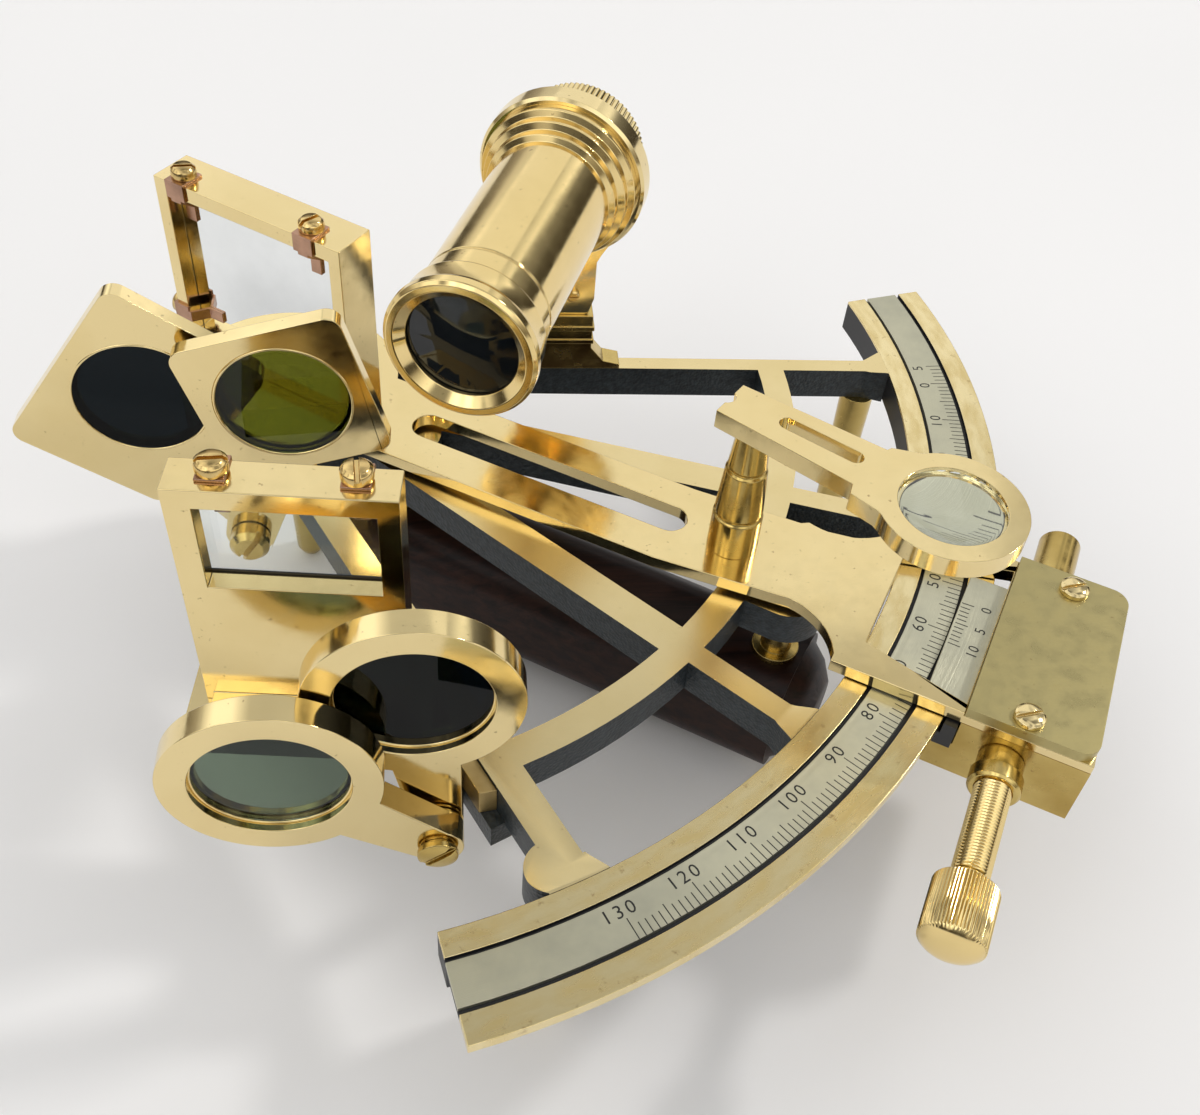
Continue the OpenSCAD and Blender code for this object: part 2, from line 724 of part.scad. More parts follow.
module horizon_base_screws() {
  color("#cfa445") in_horizon()
    for (s = [10, 27]) translate([s, hmirror_t / 2, bar_bot]) {
      cylinder(r = 1.6, h = bar_h + 6);
      mirror([0, 0, 1]) slotted_head(2.8, 1.8, 0.8);
    }
}

module horizon_shade_stud() {
  depth = 2 * round_t + round_gap + 0.3;
  color("#cfa445") translate([hs_x, hs_y, hs_z]) rotate([90, 0, 0]) {
    translate([0, 0, -9]) cylinder(r = stud_r, h = 8.5 + eps);
    translate([0, 0, -0.5]) cylinder(r = 3, h = depth + 0.8);
    translate([0, 0, round_t + 0.15]) cylinder(r = 4.2, h = round_gap - 0.3);
    translate([0, 0, depth + 0.3]) rotate([0, 0, 40]) slotted_head(3.6, 1.6, 1.3);
  }
}

// Round shade: stud hole at the origin, glass centre up local +Y
module round_shade() {
  difference() {
    linear_extrude(round_t) {
      translate([0, shade_l]) circle(round_r);
      circle(4.6);
      polygon([[-4.4, 0], [4.4, 0], [6, shade_l - 16], [-6, shade_l - 16]]);
    }
    translate([0, shade_l, 1.3]) cylinder(r = round_glass_r, h = round_t);
    translate([0, shade_l, -1]) cylinder(r = round_glass_r - 1, h = round_t);
    translate([0, 0, -1]) cylinder(r = 3 + fit, h = round_t + 2);
  }
}

module round_glass() {
  translate([0, shade_l, 1.3]) cylinder(r = round_glass_r - 0.05, h = 2);
}

module at_front_shade() { swing(hs_x, hs_y - round_t - round_gap, hs_z, front_lean) children(); }

module at_rear_shade() { swing(hs_x, hs_y, hs_z, rear_lean) children(); }

module front_shade_ring() { color("#dcbc62") at_front_shade() round_shade(); }

module front_shade_glass() { color("#41544a") at_front_shade() round_glass(); }

module rear_shade_ring() { color("#dcbc62") at_rear_shade() round_shade(); }

module rear_shade_glass() { color("#0d1216") at_rear_shade() round_glass(); }

module shade_stop_block() {
  w = near_bar_w / 2;
  color("#c9a552") at_near_bar() translate([0, 0, bar_bot + 1]) linear_extrude(bar_h - 1.8)
    polygon([[108.6, -w], [108.6, -w - 3.1], [116, -w - 3.1], [117, -w]]);
}

module index_shade_bracket() {
  color("#cfa445") difference() {
    translate([is_x - 4.8, is_y, bar_bot - 1]) cube([9.6, -26 - is_y, bar_h + 1]);
    translate([is_x, -25, is_z]) rotate([90, 0, 0]) cylinder(r = stud_r, h = 9);
  }
}

module index_shade_stud() {
  depth = 2 * plate_t + square_gap + 0.3;
  color("#cfa445") translate([is_x, is_y, is_z]) rotate([90, 0, 0]) {
    translate([0, 0, -16]) cylinder(r = stud_r, h = 16 + eps);
    cylinder(r = 3, h = depth + 0.3);
    translate([0, 0, 0.05]) cylinder(r = 4.6, h = 0.2);
    translate([0, 0, plate_t + 0.45]) cylinder(r = 4.6, h = square_gap - 0.4);
    translate([0, 0, depth + 0.3]) rotate([0, 0, 55]) slotted_head(4, 4, 1.2);
  }
}

// Square shade: stud hole at the origin, glass centre up local +Y; one side may be longer
module square_shade(turn, low, high) {
  s = shade_side;
  difference() {
    linear_extrude(plate_t) {
      translate([0, square_l]) rotate([0, 0, turn])
        translate([-s / 2 - low, -s / 2]) round_rect(s + low + high, s, 3);
      circle(5);
      polygon([[-5, 0], [5, 0], [7, square_l - 15], [-7, square_l - 15]]);
    }
    translate([0, square_l, 0.9]) cylinder(r = shade_glass_r + 0.05, h = plate_t);
    translate([0, square_l, -1]) cylinder(r = shade_glass_r - 1, h = plate_t);
    translate([0, 0, -1]) cylinder(r = 3 + fit, h = plate_t + 2);
  }
}

module square_glass() {
  translate([0, square_l, 0.9]) cylinder(r = shade_glass_r, h = plate_t - 1);
}

module at_left_shade() { swing(is_x, is_y - 0.3, is_z, left_lean) children(); }

module at_right_shade() { swing(is_x, is_y - 0.3 - plate_t - square_gap, is_z, right_lean) children(); }

module left_shade_plate() { color("#dcbc62") at_left_shade() square_shade(left_turn, left_low, left_high); }

module left_shade_glass() { color("#0e1418") at_left_shade() square_glass(); }

module right_shade_plate() { color("#dcbc62") at_right_shade() square_shade(right_turn, 0, 0); }

module right_shade_glass() { color("#4a5318") at_right_shade() square_glass(); }

module at_near_bar() {
  translate([near_p0[0], near_p0[1], 0]) rotate([0, 0, near_bar_a]) children();
}

module in_socket() { translate([collar_x, socket_y, 0]) children(); }

module telescope_socket() {
  w = stem_w + 4;
  color("#cfa445") in_socket() difference() {
    union() {
      translate([-w / 2, -2.6, bar_top]) cube([w, 5.2, socket_h]);
      translate([-w / 2 - 0.4, -2.9, bar_top + 7.4]) cube([w + 0.8, 5.8, 1.2]);
      translate([-w / 2 - 0.4, -2.9, bar_top + 11]) cube([w + 0.8, 5.8, 1.2]);
      translate([0, 2.6, bar_top]) rotate([90, 0, 0]) linear_extrude(5.2)
        polygon([[-w / 2 - 7, 0], [w / 2 + 7, 0], [w / 2 + 7, 1.2], [w / 2 + 3, 2.2], [w / 2, 6],
          [-w / 2, 6], [-w / 2 - 3, 2.2], [-w / 2 - 7, 1.2]]);
    }
    translate([-stem_w / 2 - fit, -stem_t / 2 - fit, bar_top + 2])
      cube([stem_w + 2 * fit, stem_t + 2 * fit, socket_h]);
  }
}

// Small screw in the face of the collar's leg
module at_stem_screw() {
  in_socket() translate([3.5, -stem_t / 2, leg_z + 5.1]) rotate([90, 0, 0]) children();
}

module stem_screw() {
  color("#e0b44e") at_stem_screw() {
    slotted_head(1.5, 1.1, 0.4);
    translate([0, 0, -2]) cylinder(r = 0.9, h = 2 + eps);
  }
}

// Outline of the collar's leg in X and Z: a tongue, a shoulder and a flare up to the collar
module collar_leg_plan(stem_top) {
  for (s = [-1, 1]) polygon([[0, bar_top + 5], [s * stem_w / 2, bar_top + 5], [s * stem_w / 2, leg_z],
    [s * (leg_w / 2 - 1.2), leg_z], [s * leg_w / 2, leg_z + 4], [s * leg_w / 2, stem_top - 9],
    [s * (leg_w / 2 + 1), stem_top - 7], [s * (leg_w / 2 + 4), stem_top - 2],
    [s * (leg_w / 2 + 4), stem_top], [0, stem_top]]);
}

module telescope_collar() {
  stem_top = axis_z - collar_r + 4;
  color("#dcbc62") difference() {
    union() {
      in_scope() translate([0, 0, collar_t0]) {
        translate([0, 0, 0.6]) cylinder(r = collar_r, h = collar_t - 1.2);
        cylinder(r1 = collar_r - 0.6, r2 = collar_r, h = 0.6);
        translate([0, 0, collar_t - 0.6]) cylinder(r1 = collar_r, r2 = collar_r - 0.6, h = 0.6);
      }
      difference() {
        in_socket() {
          translate([0, stem_t / 2, 0]) rotate([90, 0, 0]) linear_extrude(stem_t)
            collar_leg_plan(stem_top);
        }
        in_scope() translate([0, 0, collar_t0 - 20]) cylinder(r = collar_r - 0.7, h = collar_t + 40);
      }
    }
    in_scope() translate([0, 0, collar_t0 - 20]) cylinder(r = tube_r + 1.75, h = collar_t + 40);
    at_stem_screw() translate([0, 0, -2]) cylinder(r = 0.9, h = 3);
  }
}

module telescope_tube() {
  r = tube_r;
  c = collar_t0;
  color("#d6c27a") in_scope() rotate_extrude()
    polygon([[tube_in_r, 6.1], [r, 6.1], [r, 13.7], [r - 0.2, 13.9], [r - 0.2, 14.2], [r, 14.4],
      [r, c - 8], [r + 1.2, c - 7.4], [r + 1.2, c - 5.4], [r + 2.6, c - 4.8],
      [r + 2.6, c - 2.8], [r + 3.9, c - 2.2], [r + 3.9, c], [r + 1.7, c],
      [r + 1.7, c + collar_t], [r, c + collar_t + 0.4], [tube_in_r, c + collar_t + 0.4]]);
}

module objective_cell() {
  r = tube_r;
  lip = tube_in_r - 1;
  color("#dcbc62") in_scope() rotate_extrude()
    polygon([[lip, 1.6], [rim_r - 2, 0], [rim_r - 0.7, 0], [rim_r, 0.7], [rim_r, 2.4], [r + 1.3, 3.2],
      [r + 1.1, 3.8], [r + 1.1, 8], [r + 0.7, 8.6], [r + 0.05, 8.6], [r + 0.05, 6], [r - 0.4, 6],
      [r - 0.4, 2.4], [lip, 2.4]]);
}

module objective_lens() {
  color("#0a0d10") in_scope() rotate_extrude()
    polygon([[0, 1.6], [4, 1.75], [8, 2.2], [tube_in_r - 0.1, 2.6], [tube_r - 0.45, 2.6],
      [tube_r - 0.45, 5.9], [0, 5.9]]);
}

module draw_tube() {
  r = tube_in_r - fit;
  c = collar_t0 + collar_t;
  color("#d6c27a") in_scope() rotate_extrude()
    polygon([[r - 1, c - 18], [r, c - 18], [r, c + 10.8], [r - 0.9, c + 12.2], [4, c + 11.2],
      [4, c + 10.2], [r - 1, c + 10.2]]);
}

module eyepiece_ring() {
  r = tube_in_r - fit;
  c = collar_t0 + collar_t;
  color("#dcbc62") in_scope() rotate_extrude()
    polygon([[r, c + 2.6], [r + 1.6, c + 2.6], [r + 2.2, c + 3.2], [r + 2.2, c + 10], [r + 1.6, c + 10.6],
      [r, c + 10.6]]);
}

module eyepiece_lens() {
  c = collar_t0 + collar_t;
  color("#c8d4d8") in_scope() translate([0, 0, c + 7.2]) cylinder(r = tube_in_r - fit - 1, h = 3);
}

limb();
scale_strip();
frame();
hub_leg();
far_leg();
near_leg();
handle_grip();
handle_posts();
handle_nuts();
index_arm();
vernier_plate();
pivot_pin();
pivot_nut();
index_mirror_frame();
index_mirror_glass();
index_mirror_clips();
index_clip_screws();
magnifier_post();
magnifier_arm();
magnifier_lens();
tangent_block();
cover_plate();
cover_screws();
screw_bush();
end_sleeve();
tangent_screw();
clamp_shoe();
clamp_screw();
horizon_mirror_frame();
horizon_glass();
horizon_silvering();
horizon_clips();
horizon_clip_screws();
horizon_base_screws();
horizon_shade_stud();
front_shade_ring();
front_shade_glass();
rear_shade_ring();
rear_shade_glass();
shade_stop_block();
index_shade_bracket();
index_shade_stud();
left_shade_plate();
left_shade_glass();
right_shade_plate();
right_shade_glass();
telescope_socket();
telescope_collar();
stem_screw();
telescope_tube();
objective_cell();
objective_lens();
draw_tube();
eyepiece_ring();
eyepiece_lens();
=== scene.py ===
import math

import bpy
import bmesh
from mathutils import Matrix, Vector


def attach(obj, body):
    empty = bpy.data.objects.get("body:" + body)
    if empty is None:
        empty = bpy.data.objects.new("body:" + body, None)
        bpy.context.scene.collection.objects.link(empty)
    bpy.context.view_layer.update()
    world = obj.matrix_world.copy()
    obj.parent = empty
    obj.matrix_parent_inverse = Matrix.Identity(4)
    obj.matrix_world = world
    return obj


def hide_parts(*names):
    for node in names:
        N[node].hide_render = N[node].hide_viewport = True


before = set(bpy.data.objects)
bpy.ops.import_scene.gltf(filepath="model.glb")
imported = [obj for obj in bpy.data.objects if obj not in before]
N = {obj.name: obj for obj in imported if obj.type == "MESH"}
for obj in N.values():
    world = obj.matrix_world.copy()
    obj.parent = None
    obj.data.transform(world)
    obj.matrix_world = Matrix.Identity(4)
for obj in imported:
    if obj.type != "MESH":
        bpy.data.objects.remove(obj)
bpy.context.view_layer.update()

# Sizes are millimetres, times MM where Blender takes metres, and angles are degrees,
# unless a comment says otherwise
MM = 0.001
TOP = 52.0
MIDDLE_ANGLE = -31.55
ARM_ANGLE = -30.4


# Node helpers

class Nodes:
    """A node tree with short calls for the nodes that are used most."""

    def __init__(self, tree, coordinates):
        self.t = tree
        self.co = tree.nodes.new("ShaderNodeTexCoord").outputs[coordinates]

    def new(self, kind, **values):
        n = self.t.nodes.new("ShaderNode" + kind)
        for k, v in values.items():
            setattr(n, k, v)
        return n

    def put(self, socket, value):
        """Links a socket or sets a value; None leaves the socket as it is."""
        if isinstance(value, bpy.types.NodeSocket):
            self.t.links.new(value, socket)
        elif value is not None:
            if socket.type == "RGBA" and len(value) == 3:
                value = (*value, 1)
            socket.default_value = value

    def math(self, op, a, b=None, clamp=False):
        n = self.new("Math", operation=op, use_clamp=clamp)
        self.put(n.inputs[0], a)
        self.put(n.inputs[1], b)
        return n.outputs[0]

    def dot(self, a, b):
        n = self.new("VectorMath", operation="DOT_PRODUCT")
        self.put(n.inputs[0], a)
        self.put(n.inputs[1], b)
        return n.outputs["Value"]

    def noise(self, scale, detail=3, rough=0.55, stretch=None, turn=0.0, distortion=0.0, at=None):
        """Noise at the tree's own coordinates, turned and stretched if asked, or at another vector."""
        place = self.co if at is None else at
        if stretch:
            mapping = self.new("Mapping")
            self.put(mapping.inputs["Vector"], place)
            self.put(mapping.inputs["Rotation"], (0, 0, turn))
            self.put(mapping.inputs["Scale"], stretch)
            place = mapping.outputs[0]
        n = self.new("TexNoise")
        for socket, value in (("Vector", place), ("Scale", scale), ("Detail", detail), ("Roughness", rough),
                              ("Distortion", distortion)):
            self.put(n.inputs[socket], value)
        return n.outputs[0]

    def remap(self, value, low, high, least=0.0, most=1.0):
        """Value from low to high becomes least to most and stays within them."""
        n = self.new("MapRange", clamp=True)
        for i, x in enumerate((value, low, high, least, most)):
            self.put(n.inputs[i], x)
        return n.outputs[0]

    def mix(self, f, a, b):
        n = self.new("Mix", data_type="RGBA")
        self.put(n.inputs[0], f)
        self.put(n.inputs[6], a)
        self.put(n.inputs[7], b)
        return n.outputs[2]

    def mix_value(self, f, a, b):
        n = self.new("Mix", data_type="FLOAT")
        self.put(n.inputs[0], f)
        self.put(n.inputs[2], a)
        self.put(n.inputs[3], b)
        return n.outputs[0]

    def xyz(self, v=None):
        n = self.new("SeparateXYZ")
        self.put(n.inputs[0], self.co if v is None else v)
        return n.outputs


class Mat(Nodes):
    """A material around one Principled shader."""

    SOCKETS = {
        "color": "Base Color", "rough": "Roughness", "metal": "Metallic", "normal": "Normal",
        "trans": "Transmission Weight", "ior": "IOR", "spec": "Specular IOR Level",
        "coat": "Coat Weight", "coat_rough": "Coat Roughness",
    }

    def __init__(self, name):
        self.m = bpy.data.materials.new(name)
        self.m.use_nodes = True
        super().__init__(self.m.node_tree, "Object")
        self.b = next(n for n in self.t.nodes if n.type == "BSDF_PRINCIPLED")

    def set(self, **values):
        for name, value in values.items():
            self.put(self.b.inputs[self.SOCKETS[name]], value)

    def bump(self, height, depth, strength):
        """Relief of a depth in millimetres."""
        n = self.new("Bump")
        self.put(n.inputs["Height"], height)
        self.put(n.inputs["Distance"], depth * MM)
        self.put(n.inputs["Strength"], strength)
        return n.outputs[0]

    def radius(self):
        """Distance from the pivot's axis."""
        x, y = self.xyz()[:2]
        return self.math("SQRT", self.math("ADD", self.math("MULTIPLY", x, x), self.math("MULTIPLY", y, y)))

    def either(self, a, b):
        return self.math("MAXIMUM", a, b, clamp=True)

    def both(self, a, b):
        return self.math("MULTIPLY", a, b)


# Finishes

# Noise patterns as scale, detail and roughness
BRASS_SMUDGES = (38, 4, 0.6)
BRASS_WEAR = (260, 3, 0.6)
BRASS_WAVES = (55, 2, 0.45)
FINE_SPOTS = (900, 2, 0.5)
FRAME_SMUDGES = (40, 4, 0.6)
PAINT_GRAIN = (700, 4, 0.6)
LIMB_CLOUDS = (6, 5, 0.5)
LIMB_SPOTS = (420, 4, 0.7)
LIMB_WAVES = (200, 3, 0.6)
SILVER_STAINS = (70, 4, 0.6)
PLAIN_CLOUDS = (150, 4, 0.6)
GLASS_SPECKS = (600, 3, 0.6)

BRUSHED_LINES = (1.0, 2, 0.5)
FLOOR_CLOUDS = (3, 2, 0.5)

# The same with a stretch along each axis
WOOD_GRAIN = (1.0, 5, 0.6, (30, 420, 420))
WOOD_PORES = (1.0, 3, 0.6, (90, 2200, 2200))

# Stretch of the brushed lines along each axis, and their turn in radians
COVER_BRUSH = (60, 1500, 60)
COVER_BRUSH_TURN = 0.53
SAW_MARKS = (200, 200, 2600)

SPOT_BROWN = (0.22, 0.13, 0.05)
CRACKLE_SCALE = 1500
TURNING_LINES = 9000
LIMB_CLOUDS_ACROSS = 60
LIMB_CLOUDS_ALONG = 3.0
GLASS_ROUGH = 0.02

# The frame is bright above this height, where it faces up
FRAME_BRIGHT_Z = (50.5, 50.8)
FRAME_BRIGHT_SLOPE = (0.55, 0.75)

# The limb is black between the groove radii, on the step inside the scale and below its borders
GROOVE_IN = 145.15
GROOVE_OUT = 154.75
STEP_R = 147.5
STEP_Z = 51.4
BLACK_BELOW_Z = 49.5


def brass(name, base=(0.84, 0.68, 0.35), deep=(0.68, 0.50, 0.19), rough=0.2, smudge=0.25, brush=None, turn=0.0):
    """Brass with deeper smudges and brown spots, and with fine brushed lines or a faint wave."""
    m = Mat(name)
    smudges = m.remap(m.noise(*BRASS_SMUDGES), low=0.42, high=0.66, most=smudge)
    spots = m.remap(m.noise(*FINE_SPOTS), low=0.70, high=0.78, most=0.55)
    wear = m.remap(m.noise(*BRASS_WEAR), low=0.35, high=0.7)
    if brush:
        relief = m.bump(m.noise(*BRUSHED_LINES, brush, turn), depth=0.04, strength=0.35)
    else:
        relief = m.bump(m.noise(*BRASS_WAVES), depth=0.12, strength=0.14)
    m.set(color=m.mix(spots, m.mix(smudges, base, deep), SPOT_BROWN), metal=1.0,
          rough=m.mix_value(wear, rough * 0.75, rough * 1.5), normal=relief)
    return m


def painted_frame():
    """Brass on the polished top faces, black crackle paint on everything else."""
    m = Mat("frame_finish")
    facing_up = m.remap(m.xyz(m.new("NewGeometry").outputs["True Normal"])[2], *FRAME_BRIGHT_SLOPE)
    bright = m.both(facing_up, m.remap(m.xyz()[2], *(z * MM for z in FRAME_BRIGHT_Z)))
    cells = m.new("TexVoronoi", feature="F1")
    m.put(cells.inputs["Vector"], m.co)
    m.put(cells.inputs["Scale"], CRACKLE_SCALE)
    crackle = m.both(cells.outputs["Distance"], m.math("SUBTRACT", 1.0, bright))
    grain = m.remap(m.noise(*PAINT_GRAIN), low=0.4, high=0.7)
    lacquer = m.mix(grain, (0.010, 0.015, 0.018), (0.030, 0.040, 0.046))
    smudges = m.remap(m.noise(*FRAME_SMUDGES), low=0.42, high=0.68, most=0.4)
    spots = m.remap(m.noise(*FINE_SPOTS), low=0.70, high=0.78, most=0.5)
    shine = m.mix(spots, m.mix(smudges, (0.84, 0.69, 0.37), (0.70, 0.55, 0.24)), SPOT_BROWN)
    m.set(color=m.mix(bright, lacquer, shine), metal=bright, rough=m.mix_value(bright, 0.42, 0.24), spec=0.5,
          normal=m.bump(crackle, depth=0.2, strength=0.6))
    return m


def limb_finish():
    """Brass borders, black grooves beside the scale and black paint below the inner edge."""
    m = Mat("limb_finish")
    x, y, z = m.xyz()
    r = m.radius()
    groove = m.both(m.math("GREATER_THAN", r, GROOVE_IN * MM), m.math("LESS_THAN", r, GROOVE_OUT * MM))
    step = m.both(m.math("LESS_THAN", r, STEP_R * MM), m.math("LESS_THAN", z, STEP_Z * MM))
    dark = m.either(groove, m.either(step, m.math("LESS_THAN", z, BLACK_BELOW_Z * MM)))
    along = m.new("CombineXYZ")
    m.put(along.inputs[0], m.math("MULTIPLY", r, LIMB_CLOUDS_ACROSS))
    m.put(along.inputs[1], m.math("MULTIPLY", m.math("ARCTAN2", y, x), LIMB_CLOUDS_ALONG))
    clouds = m.remap(m.noise(*LIMB_CLOUDS, at=along.outputs[0]), low=0.38, high=0.66, most=0.75)
    spots = m.remap(m.noise(*LIMB_SPOTS), low=0.62, high=0.74, most=0.6)
    border = m.mix(spots, m.mix(clouds, (0.88, 0.74, 0.41), (0.74, 0.57, 0.24)), (0.34, 0.21, 0.07))
    m.set(color=m.mix(dark, border, (0.012, 0.012, 0.014)), metal=m.math("SUBTRACT", 1.0, dark),
          rough=m.mix_value(dark, m.mix_value(clouds, 0.2, 0.34), 0.5),
          normal=m.bump(m.noise(*LIMB_WAVES), depth=0.1, strength=0.25))
    return m


def silver():
    """Stained silvering over fine lines turned around the pivot."""
    m = Mat("silvered_scale")
    lines = m.new("TexNoise", noise_dimensions="1D")
    m.put(lines.inputs["W"], m.math("MULTIPLY", m.radius(), TURNING_LINES))
    m.put(lines.inputs["Scale"], 1.0)
    m.put(lines.inputs["Detail"], 2)
    stains = m.remap(m.noise(*SILVER_STAINS), low=0.4, high=0.7)
    m.set(color=m.mix(stains, (0.60, 0.58, 0.43), (0.48, 0.47, 0.36)), metal=0.85, rough=0.36,
          normal=m.bump(lines.outputs[0], depth=0.05, strength=0.6))
    return m


def rosewood():
    """Dark wood with its grain and pores along the grip."""
    m = Mat("rosewood_finish")
    turn = -math.radians(MIDDLE_ANGLE)
    grain = m.noise(*WOOD_GRAIN, turn, distortion=0.6)
    pores = m.noise(*WOOD_PORES, turn)
    wood = m.mix(m.remap(grain, low=0.36, high=0.66), (0.009, 0.0035, 0.003), (0.036, 0.013, 0.008))
    m.set(color=m.mix(m.remap(pores, low=0.5, high=0.7, most=0.6), wood, (0.010, 0.004, 0.003)), rough=0.42,
          coat=0.06, coat_rough=0.2, spec=0.22, normal=m.bump(pores, depth=0.08, strength=0.3))
    return m


def plain(name, color, metal=0.0, rough=0.4, vary=0.3):
    """One colour that clouds over to a darker one by the share vary."""
    m = Mat(name)
    dark = tuple(c * (1 - vary) for c in color)
    clouds = m.remap(m.noise(*PLAIN_CLOUDS), low=0.35, high=0.7)
    m.set(color=m.mix(clouds, color, dark), metal=metal, rough=rough)
    return m


def glass(name, tint, ior=1.5):
    """Tinted glass with a few pale specks."""
    m = Mat(name)
    specks = m.remap(m.noise(*GLASS_SPECKS), low=0.66, high=0.8, most=0.10)
    m.set(color=m.mix(specks, tint, (0.6, 0.6, 0.6)), trans=1.0, ior=ior, rough=GLASS_ROUGH)
    return m


POLISHED = brass("polished_brass_finish", rough=0.11)
AGED = brass("aged_brass_finish", (0.60, 0.45, 0.16), (0.38, 0.25, 0.06), smudge=0.7)
TURNED = brass("turned_brass_finish", (0.84, 0.65, 0.30), (0.60, 0.44, 0.15), rough=0.12, smudge=0.2)
SATIN = brass("satin_brass_finish", (0.47, 0.40, 0.185), (0.40, 0.33, 0.145), rough=0.36, smudge=0.15,
              brush=COVER_BRUSH, turn=COVER_BRUSH_TURN)
ROUGH = brass("sawn_brass_finish", (0.66, 0.52, 0.26), (0.36, 0.25, 0.09), rough=0.45, smudge=0.9,
              brush=SAW_MARKS)
FRAME = painted_frame()
LIMB = limb_finish()
SILVER = silver()
WOOD = rosewood()
COPPER = plain("copper_finish", (0.52, 0.31, 0.21), metal=1.0, rough=0.26, vary=0.4)
GILT = plain("screw_finish", (0.80, 0.58, 0.24), metal=1.0, rough=0.2)
BLACK = plain("black_finish", (0.012, 0.012, 0.013), rough=0.35)
MIRROR = plain("mirror_finish", (0.86, 0.88, 0.88), metal=1.0, rough=0.02, vary=0.05)
INK = plain("engraved_black", (0.012, 0.011, 0.010), rough=0.5, vary=0.2)
CLEAR = glass("clear_glass_finish", (0.93, 0.97, 0.96))
# The objective lens is drawn opaque and near-black: painted shade for the dark inside of the tube seen through
# its clear glass
OBJECTIVE_PAINTED_SHADE = plain("objective_painted_shade", (0.006, 0.008, 0.010), rough=0.04, vary=0.2)
GREY_GREEN = glass("grey_green_finish", (0.15, 0.205, 0.145), ior=1.35)
BLUE_BLACK = glass("blue_black_finish", (0.002, 0.005, 0.007), ior=1.22)
OLIVE = glass("olive_finish", (0.10, 0.13, 0.022), ior=1.35)

# Nodes with each finish; all others are polished brass
NODES_WITH = (
    (LIMB, "limb"),
    (SILVER, "scale_strip vernier_plate"),
    (FRAME, "frame"),
    (WOOD, "handle_grip"),
    (MIRROR, "index_mirror_glass"),
    (COPPER, "index_mirror_clips horizon_clips"),
    (GILT, "index_clip_screws horizon_clip_screws stem_screw"),
    (CLEAR, "magnifier_lens horizon_glass eyepiece_lens"),
    # Painted shade on the objective lens in place of clear glass
    (OBJECTIVE_PAINTED_SHADE, "objective_lens"),
    (BLACK, "clamp_shoe horizon_silvering"),
    (ROUGH, "shade_stop_block"),
    (GREY_GREEN, "front_shade_glass"),
    (BLUE_BLACK, "rear_shade_glass left_shade_glass"),
    (OLIVE, "right_shade_glass"),
    (SATIN, "cover_plate"),
    (TURNED, "telescope_tube draw_tube objective_cell"),
    (AGED, "hub_leg far_leg near_leg handle_posts handle_nuts pivot_pin pivot_nut magnifier_post"),
    (AGED, "tangent_block screw_bush end_sleeve tangent_screw clamp_screw horizon_base_screws"),
    (AGED, "horizon_shade_stud index_shade_bracket index_shade_stud telescope_socket"),
)

# Bevels
EDGE = 0.18
THIN_EDGE = 0.05
WIDE_EDGE = {"horizon_mirror_frame": 0.5, "left_shade_plate": 0.3, "right_shade_plate": 0.3}
BEVEL_ANGLE = 32
SCREW_BEVEL_ANGLE = 52
SMOOTH_MARGIN = 4
FLAT_ANGLE = 0.3
WELD_GAP = 0.002


def paint(obj, mat):
    obj.data.materials.clear()
    obj.data.materials.append(mat.m)


def edge_width(name):
    thin = name.endswith(("glass", "lens")) or name in ("scale_strip", "horizon_silvering")
    return WIDE_EDGE.get(name, THIN_EDGE if thin else EDGE)


def dress(obj, width, angle, merge):
    """Smooth shading on round faces and a fine bevel on the corners; merge joins flat facets first."""
    me = obj.data
    me.shade_smooth()
    if "custom_normal" in me.attributes:
        me.attributes.remove(me.attributes["custom_normal"])
    me.set_sharp_from_angle(angle=math.radians(angle - SMOOTH_MARGIN))
    weld = obj.modifiers.new("weld", "WELD")
    weld.merge_threshold = WELD_GAP * MM
    if merge:
        flat = obj.modifiers.new("flat", "DECIMATE")
        flat.decimate_type = "DISSOLVE"
        flat.angle_limit = math.radians(FLAT_ANGLE)
    bevel = obj.modifiers.new("bevel", "BEVEL")
    bevel.width = width * MM
    bevel.segments = 2
    bevel.limit_method = "ANGLE"
    bevel.angle_limit = math.radians(angle)
    bevel.harden_normals = True
    bevel.use_clamp_overlap = True


finish_of = {name: finish for finish, names in NODES_WITH for name in names.split()}
for name, node in N.items():
    paint(node, finish_of.get(name, POLISHED))
    bevel_angle = SCREW_BEVEL_ANGLE if "screws" in name else BEVEL_ANGLE
    # The index arm is the one node whose flat facets aren't merged
    dress(node, edge_width(name), bevel_angle, merge=name != "index_arm")


# Mesh helpers

def frame_at(*steps):
    """Matrix of moves in millimetres and turns in degrees, as ("z", 30) or (x, y, z)."""
    m = Matrix.Identity(4)
    for s in steps:
        m = m @ (Matrix.Rotation(math.radians(s[1]), 4, s[0].upper()) if isinstance(s[0], str)
                 else Matrix.Translation(Vector(s) * MM))
    return m


def circle_steps(count):
    return [2 * math.pi * i / count for i in range(count)]


def add_object(name, data):
    ob = bpy.data.objects.new(name, data)
    bpy.context.scene.collection.objects.link(ob)
    return ob


def object_from(name, bm, finish, smooth=True):
    """Painted object from a bmesh; a closed form that is smooth gets its faces turned outward first."""
    if smooth:
        bmesh.ops.recalc_face_normals(bm, faces=bm.faces)
    me = bpy.data.meshes.new(name)
    bm.to_mesh(me)
    bm.free()
    if smooth:
        me.shade_smooth()
    ob = add_object(name, me)
    paint(ob, finish)
    return ob


# Turned pieces with knurls and a thread

AXIS_R = 0.01
TURNED_SHARP_ANGLE = 36


